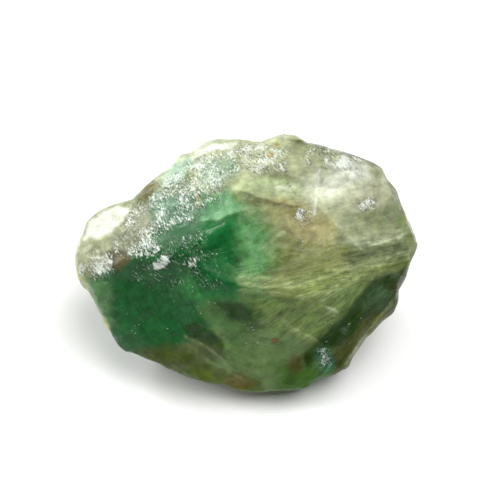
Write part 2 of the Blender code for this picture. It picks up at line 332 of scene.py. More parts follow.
MM = 0.001
FOOT_FLAT = 1.2  # how much of the foot's unevenness is worn off level
FOOT_WEAR = 0.5  # how softly its edge leaves the ground
BOX_MIDDLE = (0.0, 1.56)  # where the middle of its box is from the heart, along world X and Y
SQUARES = (168, 128, 92)  # along each side of the box of sheets that closes round the stone
SHEET_BOX = (36.0, 27.0, 23.0)  # a box of about the stone's own shape, so that their squares come out even
CRYSTAL_SCATTER = 0.45  # how far a crystal is from the middle of its cell
STEP_SWAYS = ((3.0, 4.0, 1.0), (2.0, 1.6, 0.35))  # the torn steps' sways: how drawn out, grain and share
STEP_SWAY = 0.8  # how far they sway, in steps
STEP_FALL = 0.18  # the share of a step in which it falls
STEP_LEVEL = 0.4  # its mean height


def sheets(counts):
    """Six sheets of two parameters, s and t, each from -45 to 45 degrees, turned to face six ways.

    A point's way is (1, tan s, tan t), stretched by SHEET_BOX, over its length. The sheets share the points
    along their edges.
    """
    counts = np.array(counts)
    sides = []
    for facing, sign in product(range(3), (1, -1)):
        first, second = (facing + 1) % 3, (facing + 2) % 3
        marks = [np.arange(-count, count + 1, 2) for count in (counts[first], counts[second])]
        s, t = np.meshgrid(*marks, indexing="ij")
        side = np.empty(s.shape + (3,), int)
        side[..., facing] = sign * counts[facing]
        side[..., first] = s
        side[..., second] = sign * t
        sides.append(side)
    every_place = np.concatenate([side.reshape(-1, 3) for side in sides])
    places, index = np.unique(every_place, axis=0, return_inverse=True)
    starts = np.cumsum([side[..., 0].size for side in sides])[:-1]
    faces = []
    for side, own in zip(sides, np.split(index.ravel(), starts)):
        own = own.reshape(side.shape[:2])
        corners = (own[:-1, :-1], own[1:, :-1], own[1:, 1:], own[:-1, 1:])
        faces.append(np.stack(corners, axis=-1).reshape(-1, 4))
    return unit(np.tan(places / counts * math.pi / 4) * SHEET_BOX), np.concatenate(faces)


def zone(spot, corners, soft):
    """How much of each point lies in a ring of corners (across, up): from 0 to 1 over a border soft wide.

    A point is inside where a line from it to the right crosses the ring an odd number of times.
    """
    spot = spot[:, :2]
    nearest = np.full(len(spot), np.inf)
    inside = np.zeros(len(spot), bool)
    for start, end in zip(np.array(corners), np.roll(corners, -1, axis=0)):
        nearest = np.minimum(nearest, gap_to(spot, start, end))
        run = end - start
        level = (start[1] > spot[:, 1]) != (end[1] > spot[:, 1])
        share = np.where(level, spot[:, 1] - start[1], 0) / (run[1] or 1)
        inside ^= level & (spot[:, 0] < start[0] + share * run[0])
    fade = np.clip(0.5 + np.where(inside, nearest, -nearest) / soft, 0, 1)
    return fade * fade * (3 - 2 * fade)


def turned_round(points, angle):
    """The points turned round "out": their first number runs along angle, in degrees, their second across."""
    cos, sin = math.cos(math.radians(angle)), math.sin(math.radians(angle))
    across, up, out = points.T
    return np.stack([across * cos + up * sin, up * cos - across * sin, out], axis=1)


def crystals(points, grain, seed):
    """Small flat faces: each point belongs to the nearest of many scattered seeds, and takes its tilt."""
    cell = points / grain
    base = np.floor(cell).astype(np.int64)
    nearest = np.full(len(points), np.inf)
    height = np.zeros(len(points))
    for corner in product((-1, 0, 1), repeat=3):
        seeds = base + corner
        place = lattice_random(seeds, seed)
        offset = cell - (seeds + 0.5 + CRYSTAL_SCATTER * place)
        away = np.sum(offset**2, axis=1)
        closer = away < nearest
        tilt = lattice_random(seeds, seed + 1)
        height = np.where(closer, np.sum(tilt * offset, axis=1), height)
        nearest = np.minimum(nearest, away)
    return height * grain


def steps_along(points, angle, spacing, seed):
    """Torn steps that run along angle: a swaying saw tooth across them, slow up and sharp down."""
    spot = turned_round(points, angle)
    sways = enumerate(STEP_SWAYS, seed)
    sway = sum(share * noise(spot / (long, 1.0, 1.0), grain, own) for own, (long, grain, share) in sways)
    tooth = spot[:, 1] / spacing + STEP_SWAY * sway
    part = tooth - np.floor(tooth)
    fall = np.clip((1 - part) / STEP_FALL, 0, 1)
    return np.minimum(part, fall) - STEP_LEVEL


def standing(points):
    """Turns the stone's own directions into world ones, with its foot worn level at zero height."""
    across, up, out = points.T
    depth = up * math.sin(LEAN) - out * math.cos(LEAN)
    height = up * math.cos(LEAN) + out * math.sin(LEAN) + FOOT_DEPTH - FOOT_FLAT
    height = -lower(-height, 0.0, FOOT_WEAR)
    return np.stack([across - BOX_MIDDLE[0], depth - BOX_MIDDLE[1], height], axis=1)


# How thick the white frost of crystals is, from 0 to 1, its corners across and up, and how wide it thins out.
# Its patches tip, star_spot, gloss_right, flakes, flakes_right and low stand for glints and highlights: they
# paint them as thick white flecks.
FROST = {
    "left": (0.50, [
        (-24.8, 12), (-22.3, 13.7), (-15.5, 15.3), (-9.7, 14.1), (-8, 10.7), (-10.1, 8.2), (-15.5, 6.9),
        (-18.1, 4), (-21, 1.9), (-26.5, 2.3), (-26.9, 5.7), (-25.2, 8.6)], 3),
    "west": (0.50, [
        (-28.1, 5.2), (-23.5, 8.2), (-18.9, 6.1), (-16.6, 1.5), (-20.2, 0.2), (-23.1, 0.8),
        (-26.5, 1.1)], 2.5),
    "halo": (0.30, [
        (-23.9, 1.3), (-20.2, 4.8), (-9.7, 8), (-4.8, 2.7), (-4.8, -5), (-11.8, -6.1), (-20.2, -5.7),
        (-23.9, -3.6)], 4),
    "top": (0.54, [
        (-18.5, 16.2), (-13, 21.6), (-6.7, 23.3), (3.4, 25.4), (9.2, 23.7), (8.4, 17.8), (-2.1, 17.8),
        (-4.2, 14.1), (-8.4, 10.7), (-16, 14.1)], 3.5),
    "tip": (0.80, [(-31.5, 0), (-30, 1.5), (-26.9, 0.8), (-26.5, -1.7), (-30, -2.5)], 1.2),
    "tip_round": (0.46, [
        (-34.9, -1.1), (-33.2, 1.9), (-29.8, 4), (-26.5, 2.3), (-26, -2.3), (-31.1, -4.2),
        (-34.4, -3.6)], 2.5),
    "bright_left": (0.78, [(-18.9, 12.2), (-16.8, 12.8), (-15.8, 10.3), (-17.4, 8.4), (-18.9, 9.7)], 2),
    "bright_mid": (0.70, [(-13, 12.2), (-9, 13.2), (-8.2, 10.7), (-11.8, 9.4)], 2),
    "star_spot": (0.95, [(-18.7, 0.2), (-16.8, 1.9), (-15.3, 0.2), (-16.4, -1.7), (-18.5, -1.5)], 1.2),
    "patch": (0.72, [(-12.4, 3.8), (-9.2, 2.3), (-9.2, -1.1), (-11.8, -1.1)], 2),
    "streaky": (0.78, [(-22.3, 7.4), (-19.7, 8), (-16.4, 2.3), (-20.2, 0.2)], 2),
    "gloss_right": (0.66, [
        (17.6, 20.4), (19.7, 22.9), (22.3, 22.5), (24.8, 20.8), (23.9, 17.8), (21, 19.1)], 2),
    "flakes": (0.62, [(11.8, 23.1), (13.7, 23.7), (13.9, 19.5), (12, 20)], 1.6),
    "flakes_right": (0.55, [(15.5, 21.8), (17.4, 22.1), (17.6, 19.5), (15.8, 19.7)], 1.6),
    "rim_right": (0.40, [(11.8, 24.6), (17.6, 24.1), (25.2, 21.6), (22.3, 19.9), (13.9, 21.2)], 2.5),
    "cluster": (0.85, [(22.7, 12), (24.4, 13.4), (26.2, 13), (25.8, 10.9), (23.5, 10.3)], 1),
    "star": (0.66, [(9.7, 8.4), (10.1, 11.5), (13.9, 11.1), (12.2, 7.8)], 1.6),
    "middle": (0.45, [(9.7, 10.3), (13.9, 12), (14.3, 9), (11.8, 6.9), (10.1, 7.8)], 2),
    "low": (0.64, [(14.5, -17.4), (16.8, -17), (18.1, -20.8), (16.8, -22.9), (14.9, -21.2)], 1.8),
}  # fmt: skip

# Where it tore in steps: corners, the angle that the steps run at, their spacing, and their height.
TORN = {
    "crest": ([(-2, -1.5), (12, -4.5), (26, 0.5), (36, 5), (34, 8), (10, 3), (0, 1.5)], 14, 2.3, 0.30),
    "streaked": ([(-2, -6.5), (9, -15), (16, -18), (27, -3), (22, 1), (11, -4)], 36, 1.5, 0.20),
    "right": ([(14, 4), (20, -1), (34, -1), (37, 6), (32, 12), (20, 11)], 20, 2.8, 0.28),
    "valley": ([(12, -19), (24, -12), (34, -3), (34, -9), (20, -26), (14, -25)], 48, 2, 0.30),
    "front": ([(-14, -10), (8, -12), (12, -22), (4, -28), (-14, -24)], -28, 3, 0.16),
    "pale": ([(-4, 13), (12, 10), (30, 14), (30, 22), (10, 27), (-2, 19)], 8, 2.6, 0.18),
}
TORN_BORDER = 4.0
TORN_SHARE = 0.6  # how much of it is torn, more or less by noise
TORN_GRAIN = 5.0
TORN_SEED = 60
STEP_SEED = 70

WARP_GRAIN, WARP_SEEDS = 7.0, (11, 12, 13)  # the borders of its zones wander
WARP = 0.7  # this far on the best side
WARP_BEHIND = 0.35  # and this much farther for each millimetre behind the heart
FINE_WARP_GRAIN, FINE_WARP_SEEDS = 2.4, (14, 15, 16)
FINE_WARP = 0.6

FROST_SHARE = 0.85  # the frost comes thick and thin round this share of itself
FROST_SWING = 0.7
FROST_MOST = 1.2
FROST_GRAIN = 3.0
FROST_SEED = 21
FROST_HEIGHT = 0.30
LONG_ANGLE = -48  # the way that the frost's longer crystals lie
LONG_SHAPE = (1.7, 0.8, 1.0)  # how long, wide and deep they are for their grain
LONG_GRAIN, LONG_SEED = 0.9, 31
EVEN_GRAIN, EVEN_SEED = 0.75, 33
EVEN_SHARE = 0.6
NICKS = ((1.3, 0.03), (0.7, 0.025))  # the width of its small nicks, and how deep they are
NICK_SEED = 41

ways, faces = sheets(SQUARES)
points = stone_points(ways)

warp = swayed(points, WARP_GRAIN, WARP_SEEDS)
fine_warp = swayed(points, FINE_WARP_GRAIN, FINE_WARP_SEEDS)
depth_behind = np.maximum(-points[:, 2:], 0)
spot = points + (WARP + WARP_BEHIND * depth_behind) * warp + FINE_WARP * fine_warp

frost = np.zeros(len(points))
for share, corners, soft in FROST.values():
    frost = np.maximum(frost, share * zone(spot, corners, soft))
frost *= np.clip(FROST_SHARE + FROST_SWING * noise(points, FROST_GRAIN, FROST_SEED), 0, FROST_MOST)
relief = sum(deep * noise(points, wide, seed) for seed, (wide, deep) in enumerate(NICKS, NICK_SEED))
long_crystals = crystals(turned_round(points, LONG_ANGLE) / LONG_SHAPE, LONG_GRAIN, LONG_SEED)
relief += frost * FROST_HEIGHT * (long_crystals + EVEN_SHARE * crystals(points, EVEN_GRAIN, EVEN_SEED))
for number, (corners, angle, spacing, height) in enumerate(TORN.values()):
    torn = np.clip(TORN_SHARE + noise(points, TORN_GRAIN, TORN_SEED + number), 0, 1)
    torn = zone(spot, corners, TORN_BORDER) * torn
    relief += torn * height * steps_along(points, angle, spacing, STEP_SEED + 2 * number)
own_place = points
points = points + ways * relief[:, None]


def placed(name, data):
    """A new object that holds data, put into the scene."""
    piece = bpy.data.objects.new(name, data)
    bpy.context.scene.collection.objects.link(piece)
    return piece


mesh = bpy.data.meshes.new("stone_skin")
mesh.from_pydata((standing(points) * MM).tolist(), [], faces.tolist())
mesh.shade_smooth()
stone = placed("stone_skin", mesh)

# The stone's colour.
# The mineral grew in zones, which run right through the lump: emerald on the left, mint, cream, tan and grey
# to the right, olive and sage below. Cracks and torn steps show in it as pale streaks, and rust stains it.
# Highlights, glints, a glow through the stone, and shade below ledges and along edges are painted in too.

# Each zone's colour, its corners across and up from the heart, and how wide its border is.
OLIVE = (0.10, 0.14, 0.045)
ZONES = {
    "cream": ((0.36, 0.39, 0.22), [
        (3.4, 12.2), (13.4, 8.6), (22.3, 4.8), (31.9, 10.1), (36, 16.2), (25.3, 26.3), (11.3, 29.4),
        (3.4, 26.1), (-1.7, 17.8)], 3),
    "grey": ((0.19, 0.22, 0.10), [
        (16.6, 4.8), (18.8, -1.8), (31.5, -2.8), (36.9, 4.8), (34.9, 13.2), (19.7, 10.7)], 3),
    "grey_low": ((0.13, 0.165, 0.062), [
        (16.8, 4), (25.2, 4.8), (33.2, 3.2), (33.2, -0.2), (25.2, 0.2), (18.9, -1.1)], 2),
    "pink_grey": ((0.37, 0.385, 0.25), [
        (17.6, 12), (22.3, 10.3), (30.7, 12.2), (29.7, 18.4), (18.9, 16.6)], 2.5),
    "grey_high": ((0.20, 0.23, 0.12), [
        (19.3, 10.3), (22.3, 10.3), (27.7, 12), (30.7, 12.4), (32.3, 8.6), (32.8, 5.2), (28.1, 5.2),
        (23.9, 4), (20.6, 4.8), (18.5, 7.3)], 4),
    # Partly the pale cream itself and partly a painted sheen of light on it.
    "cream_and_sheen": ((0.56, 0.60, 0.41), [
        (10.9, 13.7), (15.1, 12), (22.3, 14.2), (25.4, 21.5), (18.9, 20.4), (10.5, 17.1)], 2.5),
    # Painted highlight: a near-white glossy fan among the cream.
    "fan_highlight": ((0.78, 0.80, 0.63), [(14, 14.3), (16, 15.6), (21.3, 17), (20.1, 15), (16.6, 13.4)], 2),
    "right_rim": ((0.13, 0.165, 0.05), [
        (29.9, 13.7), (32.2, 6.9), (34, -1.2), (38.7, 4.8), (33.5, 19.3), (28.3, 21.9)], 1.6),
    "leaf": ((0.08, 0.17, 0.05), [(-6, -8.5), (2, -9.5), (6, -7.5), (4, -3), (-2.5, -2.5), (-7, -5)], 2.5),
    "sage_low": ((0.12, 0.205, 0.062), [
        (-9.7, -17.4), (0.8, -29.4), (13, -28.9), (13.9, -17.8), (3.4, -9.3), (-7.6, -9.3)], 2.5),
    "emerald": ((0.012, 0.094, 0.022), [
        (-31.1, -20.2), (-20.2, -21.3), (-8.6, -14.1), (-1.3, -5.7), (-1.7, 0.2), (0, 7.8), (-8.6, 8.6),
        (-20.2, 5.7), (-37, -2.7)], 2.5),
    "emerald_pale": ((0.020, 0.165, 0.035), [
        (-13.5, -1), (-6.5, -5), (-1.5, -4.5), (-2.5, -8.5), (-8, -9), (-14, -5)], 3),
    "pale_green": ((0.085, 0.20, 0.07), [(-36, -3), (-27.5, -3.2), (-28.5, -14), (-33.5, -9)], 3),
    "olive_mid": ((0.15, 0.172, 0.045), [
        (2.5, -3.1), (8.2, -5.8), (19.7, -4.6), (22.3, 1.1), (17.6, 4.8), (3.4, 4.8)], 3),
    "tan": ((0.25, 0.275, 0.11), [
        (4.6, 5.7), (10.5, 1.3), (17.8, 3), (17, 9.4), (9.2, 12.4), (3.4, 11.5)], 5.5),
    "tan_left": ((0.20, 0.27, 0.11), [(-1.7, 13.9), (3.4, 13.7), (4.6, 10.3), (1.3, 8.6), (-1.3, 10.3)], 2),
    "amber": ((0.34, 0.315, 0.135), [
        (2.1, 15.8), (7.6, 16.2), (9.7, 13.2), (13.9, 11.5), (17.6, 9), (17.2, 4.8), (12.6, 4), (9.2, 6.5),
        (6.3, 10.3), (2.5, 12.8)], 5),
    # Partly the stone's own green and partly a painted glow of light passing through it.
    "glow": ((0.088, 0.245, 0.080), [
        (-4.4, 2.9), (-0.6, -1.9), (3.6, -4.4), (5.7, 0.4), (4.6, 5.5), (1.5, 9.4), (-3.6, 10.5)], 6),
    "hollow": ((0.006, 0.110, 0.024), [
        (-10.5, 0.2), (-8, -5.2), (-2.9, -5.7), (-0.6, -4), (-1.3, 0.2), (-1.9, 3.8), (-0.8, 10.3),
        (-8.6, 9.7)], 4),
    "mint": ((0.12, 0.29, 0.125), [(-9.2, 9), (-4.2, 9.4), (-0.6, 10.7), (-3.8, 15.3), (-8.8, 14.9)], 0.7),
    "pale_band": ((0.43, 0.51, 0.27), [
        (-3.4, 14.6), (3.4, 13.2), (10.5, 12.5), (10.9, 16.2), (3.4, 17.8), (-2.9, 17.4)], 2.2),
    # Painted shade on the facet below the ridge on the right.
    "ridge_shade_band": ((0.065, 0.085, 0.030), [
        (19.7, 1.9), (24.4, 3.1), (31.5, 4.2), (33.6, 3.4), (33.6, 1.1), (28.6, 0), (23.9, -1.1),
        (20.2, -1.1)], 1.8),
    "grey_right": ((0.245, 0.275, 0.14), [
        (17.6, 7), (22.3, 9.5), (30, 9), (31.5, 7.2), (28.1, 5.6), (20, 4.8)], 2),
    "crest": ((0.155, 0.205, 0.053), [
        (4, -5.9), (9.7, -7.3), (17.6, -6.8), (23.9, -3.2), (34, 0.4), (33.4, 2.5), (27.1, 1.1), (20.8, -0.8),
        (11.3, -2.6), (3, -2.9)], 1.8),
    "streaked": ((0.13, 0.195, 0.053), [
        (1.3, -11.1), (8.8, -14.1), (13.9, -17.4), (26.5, -4.4), (22.3, -3.1), (11.3, -7.8), (0, -6.9)], 1.8),
    "valley": ((0.018, 0.046, 0.006), [
        (12.1, -21.9), (23.9, -14.1), (31.9, -7.8), (33.2, -0.6), (26.5, -2.7), (17.6, -12.4),
        (11.3, -17.8)], 1.8),
    "shelf": ((0.045, 0.058, 0.003), [
        (16.8, -20.4), (17.6, -26.1), (24.3, -23.2), (35.9, -10.3), (37.3, -2.7), (33.2, -1.5),
        (22.3, -14.1)], 1.2),
    "outer_rim": ((0.022, 0.034, 0.003), [
        (28.1, -5.2), (33.2, -2.7), (34.5, -7), (31.9, -10.3), (27.3, -10)], 2),
    "blue_dark": ((0.032, 0.070, 0.022), [
        (24.4, -6.1), (27.7, -4), (30.2, -6.9), (28.1, -9.9), (24.8, -9)], 2),
    "shade_high": ((0.045, 0.098, 0.022), [
        (-8, -7.8), (-4.4, -6.9), (0.8, -7.8), (3.4, -10.3), (2.5, -13), (-1.3, -14.1), (-4.4, -11.6)], 3),
    "dark_high": ((0.016, 0.055, 0.008), [
        (-5.8, -7.6), (-1.9, -7.6), (1, -9), (0.8, -11.3), (-2.9, -12.2), (-5, -10.5)], 1.2),
    "olive_band": ((0.065, 0.150, 0.040), [
        (-9.8, -8.6), (-7.6, -7.8), (-2.8, -11.6), (-0.3, -15.8), (-2.8, -16.6), (-6.1, -12),
        (-8.6, -11.1)], 2.4),
    "dark_low": ((0.012, 0.052, 0.006), [
        (-12.8, -13.2), (-10.3, -11.6), (-7.4, -13.4), (-4.8, -16.8), (-5.2, -18.7), (-8.8, -17.4)], 1),
    "dark_foot": ((0.040, 0.068, 0.014), [
        (-10.1, -15.8), (-5.5, -15.8), (-4, -19.1), (-6.3, -20.6), (-9.7, -18.7)], 2),
    "lower_rim": ((0.070, 0.110, 0.012), [
        (-24.3, -22.6), (-8.4, -28.2), (3.4, -30), (3.4, -24.1), (-8.4, -20.5), (-20.6, -17.8)], 1.8),
    "shade_foot": ((0.065, 0.095, 0.016), [
        (-22.5, -17.8), (-17, -16.6), (-11.8, -18.5), (-9.5, -21.5), (-14, -22.5), (-20.5, -20.6)], 3),
    "green_foot": ((0.042, 0.120, 0.010), [
        (4.6, -30), (13.4, -30), (19.4, -23.9), (14.9, -20.6), (7, -21.4)], 3.5),
    "brown_low": ((0.062, 0.066, 0.012), [
        (7.8, -20.8), (9.7, -18.3), (12, -18.7), (11.3, -22.1), (9.2, -22.9)], 2),
    "amber_foot": ((0.13, 0.115, 0.012), [
        (-4.4, -24.2), (-1.3, -22.9), (1.9, -25), (-0.2, -26.7), (-3.8, -25.8)], 1.5),
}  # fmt: skip

# Crusts and stains that lie only on the best side, and light painted there: highlights on the shoulder, the
# top bevel and a sheen patch, and a glow through the thin left edge. Given in the same way.
RINDS = {
    "crust_green": ((0.065, 0.165, 0.078), [
        (-22.3, 12.2), (-17.6, 15.3), (-8.4, 14.1), (-8, 8.2), (-10.7, 4.7), (-16.4, 3.2), (-21, 3.5),
        (-23.5, 4.8)], 3),
    "crust_pale": ((0.135, 0.255, 0.15), [
        (-20.2, 13.2), (-17, 16.2), (-8.8, 16.6), (-8, 10.9), (-10.5, 8.8), (-17, 8.2), (-19.7, 9.9)], 3),
    "crust_top": ((0.41, 0.445, 0.265), [
        (-13.8, 15.3), (-6.7, 14.1), (0, 17.4), (8, 18.7), (10, 24), (5.4, 29.8), (-6.7, 27.1), (-15.9, 22.8),
        (-24, 14.1)], 2.5),
    "crust_dull": ((0.20, 0.26, 0.14), [
        (-18.1, 15.8), (-16, 18.7), (-11.8, 19.1), (-10.5, 16.2), (-13.4, 14.1), (-17.2, 13.7)], 2.5),
    "crust_mint": ((0.30, 0.41, 0.26), [
        (-10.7, 21), (-2.3, 22.3), (-1.3, 18.5), (-6.5, 14.9), (-9.7, 16.4)], 2.5),
    "left_tip": ((0.35, 0.38, 0.22), [
        (-37.1, 0.2), (-36.3, 6.5), (-31.5, 11.7), (-24.4, 14.4), (-20.2, 12), (-20.2, 7.3), (-23.5, 2.5),
        (-28.1, -0.1), (-32.8, -3.4)], 2.5),
    "mottle": ((0.25, 0.275, 0.17), [
        (-24.8, 10.3), (-23.3, 12.2), (-19.7, 12.4), (-18.7, 7.8), (-20.2, 4.4), (-24.4, 1.1), (-27.7, 1.9),
        (-27.1, 5.2)], 2.5),
    # Painted sheen: a glossy white patch of reflected light at the top right.
    "sheen_patch": ((0.70, 0.74, 0.61), [
        (17.6, 20.2), (19.7, 22.5), (24.8, 20.4), (25.6, 17.4), (21.8, 17), (18.9, 18.3)], 3),
    # Painted highlight: the white reflection of the light along the top left bevel.
    "bevel_highlight": ((0.74, 0.79, 0.62), [
        (-17.1, 17.6), (-12.6, 22), (-6.9, 24.7), (-1.8, 25), (-2.9, 23.5), (-6.5, 23.3), (-11.8, 21.4),
        (-15.5, 19.3)], 0.8),
    "bevel_mint": ((0.42, 0.58, 0.42), [
        (-17.1, 16.3), (-16, 20.6), (-11.7, 22.8), (-11, 20.6), (-13.5, 17)], 2),
    # Painted highlight: the bright reflection of the light on the glossy left shoulder.
    "shoulder_highlight": ((0.80, 0.82, 0.68), [
        (-33.8, 4.8), (-28.1, 6.1), (-25.2, 9.2), (-24.3, 11.8), (-28.1, 11.4), (-32.3, 9.2)], 1),
    # Painted light: a pale yellowish glow where light shines through the thin left edge.
    "left_edge_glow": ((0.40, 0.43, 0.20), [
        (-35, -7.8), (-30, -16.8), (-27.8, -14.9), (-32, -7.1), (-34.4, -1.5), (-37.5, 0.2)], 0.8),
    "brown": ((0.10, 0.09, 0.035), [
        (-28.1, -1.3), (-25.2, -1.5), (-23.3, 0.6), (-24, 2.4), (-28.1, 2.7)], 1.2),
    "stain_left": ((0.12, 0.12, 0.03), [
        (-22.3, 12.4), (-19, 13.6), (-18, 16.4), (-20.5, 17.5), (-23.1, 14.9)], 1.2),
    "stain_mid": ((0.30, 0.33, 0.14), [(-10.7, 17.8), (-9.9, 12), (-8.9, 11.5), (-9.7, 18.5)], 1),
    "rust_a": ((0.42, 0.30, 0.07), [(4.4, 21.8), (5, 22.5), (5.7, 22.2), (5.3, 21.6)], 0.5),
    "rust_b": ((0.38, 0.27, 0.06), [(5.5, 24.4), (6.1, 25), (6.5, 24), (5.9, 23.5)], 0.5),
    "low_mint": ((0.045, 0.15, 0.07), [
        (14.5, -17.4), (17, -17), (18.5, -21.2), (16.6, -23.3), (14.7, -20.8)], 1.6),
    "rust_halo": ((0.085, 0.075, 0.008), [(5.3, -15.6), (6, -14.9), (6.8, -15.5), (6.1, -16.4)], 0.5),
    "rust_dot": ((0.26, 0.10, 0.008), [(5.7, -15.7), (6.1, -15.3), (6.5, -15.7), (6.1, -16.1)], 0.4),
}  # fmt: skip

# Streaks along cracks, and painted highlights, glints and shade along ridges, ledges and edges: each one's
# route, how wide it fades to its right, how much shows, and its colour.
WHITE = (0.85, 0.88, 0.78)
PALE = (0.60, 0.66, 0.44)
LIME = (0.38, 0.44, 0.21)
LEAF = (0.10, 0.26, 0.09)
SHADE = (0.05, 0.07, 0.02)
STREAKS = [
    ([(14.9, 18.5), (14.5, 15.3), (14.1, 9.9)], 0.5, 0.8, WHITE),
    ([(14.1, 17.8), (13.7, 12.2)], 0.3, 0.6, PALE),
    ([(11.8, 10.1), (8.2, 6.9), (3.4, 3.1)], 0.4, 0.6, LIME),
    ([(22.3, 3.6), (18.9, 7.3), (15.5, 10.7)], 1.3, 0.4, PALE),
    ([(6.3, 15.3), (10.5, 16.2)], 0.5, 0.6, WHITE),
    ([(21.8, 17), (15.1, 15.3)], 1.0, 0.7, WHITE),
    ([(-0.6, 10.7), (-4.2, 9.4), (-8.4, 8.6)], 0.8, 0.55, (0.30, 0.58, 0.32)),
    ([(-3.8, 0.2), (-1.3, -1.9), (4.6, 0.2)], 0.4, 0.6, LEAF),
    ([(-1.3, -2.3), (6.1, -2.7)], 0.5, 0.6, LIME),
    ([(33.4, 2.1), (29.2, 1.3), (22.3, -0.6), (17.6, -2.3), (11.3, -4.4), (3.4, -4.8), (-1.3, -4)],
     1.1, 0.7, LIME),
    ([(-0.6, -5), (11.3, -6.1), (13.4, -7.8)], 0.6, 0.5, LIME),
    ([(21.8, -1.9), (16.6, -5.7), (11.3, -6.9)], 0.6, 0.6, LIME),
    ([(29, 1.1), (26.5, -0.4), (20.8, -4.2), (15.5, -7.3)], 0.6, 0.6, LIME),
    # Painted highlight along the ridge on the right.
    ([(32.8, 5.9), (29.4, 4.6), (25.2, 3.8)], 0.5, 0.9, PALE),
    ([(31.7, 6.9), (28.1, 5.2), (22.3, 4.6), (17.6, 4)], 0.7, 0.35, PALE),
    ([(33.4, 0.8), (27.7, -0.4), (20.8, -1.2)], 0.8, 0.7, LIME),
    ([(31.3, 10.1), (32.8, 4.8), (32.3, 0.2)], 0.5, 0.4, LEAF),
    ([(16, -8.6), (18.5, -9.7)], 0.3, 0.7, PALE),
    ([(7.1, -11.1), (9, -12.4), (13.9, -15.3)], 0.7, 0.55, LIME),
    ([(-12.2, -14.7), (-8, -17), (-4.2, -19.7)], 0.3, 0.45, LIME),
    # Painted glints, in stripes, on the left tip.
    ([(-31.9, 1.1), (-28.6, 1.3)], 0.2, 0.9, WHITE),
    ([(-31.7, 0), (-28.1, 0)], 0.2, 0.9, WHITE),
    ([(-31.1, -1.2), (-28.4, -1)], 0.2, 0.9, WHITE),
    ([(-8, -19.5), (-3.6, -21.8), (0, -24.6)], 0.3, 0.3, LIME),
    ([(-12.6, -3.6), (-9.4, 2.5), (-6.5, 8.6)], 0.5, 0.25, LEAF),
    ([(22.3, -18.3), (26.5, -12.4), (29.8, -8.2)], 0.5, 0.5, LIME),
    ([(20.6, -20.8), (24.8, -15.3)], 0.4, 0.4, LIME),
    ([(3.4, 21), (0, 22.1), (-2.9, 20.8)], 0.3, 0.6, SHADE),
    ([(8.2, 16.2), (9.9, 13.9)], 0.2, 0.6, SHADE),
    # Painted shade: along the top right edge, below the pale band, below the crest and below the ridge on the
    # right.
    ([(10.8, 25.4), (17.6, 24.2), (22.7, 22.5), (27.7, 20.6)], 1.6, 1.0, SHADE),
    ([(-0.6, 14.5), (2.5, 13.2), (6.5, 12.1), (11.3, 11.1)], 1.2, 0.75, SHADE),
    ([(-1, -5.9), (5, -6.5), (11.3, -7.2)], 0.7, 0.5, SHADE),
    ([(34, 1.5), (28.1, 0.2), (20.8, 0.2)], 0.5, 0.4, SHADE),
    # Painted shade: a darker grey-green line along the upper left edge.
    ([(-34.8, 5.7), (-33.2, 9.4), (-29.8, 11.5), (-23.5, 13.6)], 0.7, 0.6, (0.16, 0.22, 0.13)),
    ([(-23.1, 13.7), (-20.2, 17.2), (-14.3, 22.6), (-7.1, 25.9), (-1.3, 26)], 0.5, 0.6, (0.22, 0.30, 0.20)),
]  # fmt: skip

# The fine fibres that each crack plane shows as: their angle, and how strongly they show, and where.
FIBRES = {
    "level": (12, [
        (1.0, [(-2.1, 0.2), (11.3, -1.5), (22.3, 4.8), (33.2, 7.8), (34.4, 0.2), (21.8, -5.7), (9.2, -7.8),
               (-1.3, -6.9)]),
        (0.2, [(-2.1, 17.4), (11.3, 23.7), (28.1, 17.4), (31.3, 8), (17.6, 4.8), (3.4, 10.1)])]),
    "rising": (36, [
        (1.0, [(-1.3, -7.8), (9.2, -6.9), (22.3, -2.7), (26.5, -4.4), (13.9, -17.4), (8.8, -14.5),
               (0.8, -12.4)]),
        (0.4, [(-30.7, -3.6), (-9.7, -3.6), (-6.5, -7.8), (-13.9, -16.2), (-26.5, -16.2)])]),
    "steep": (50, [
        (1.0, [(11.3, -18.3), (20.8, -9.9), (32.3, -0.6), (35.2, -7.8), (21.8, -23.2), (13.9, -25.7)])]),
    "falling": (-30, [
        (0.6, [(-25.2, -18.7), (-18.1, -14.1), (-3.4, -16.2), (3.4, -20.8), (3.4, -27.1), (-8.4, -26.3),
               (-22.3, -20.8)]),
        (0.35, [(-13, -13.2), (2.9, -10.3), (9.2, -13.2), (4, -20), (-6, -18)])]),
    "plunging": (-62, [
        (0.35, [(-8, 8), (3.4, 8.6), (6.3, 2.7), (3.4, -4), (-7.1, -5)]),
        (0.45, [(-29, -5), (-10, -1), (-6.5, -7.8), (-13.9, -16.2), (-26.5, -16.2)])]),
}  # fmt: skip

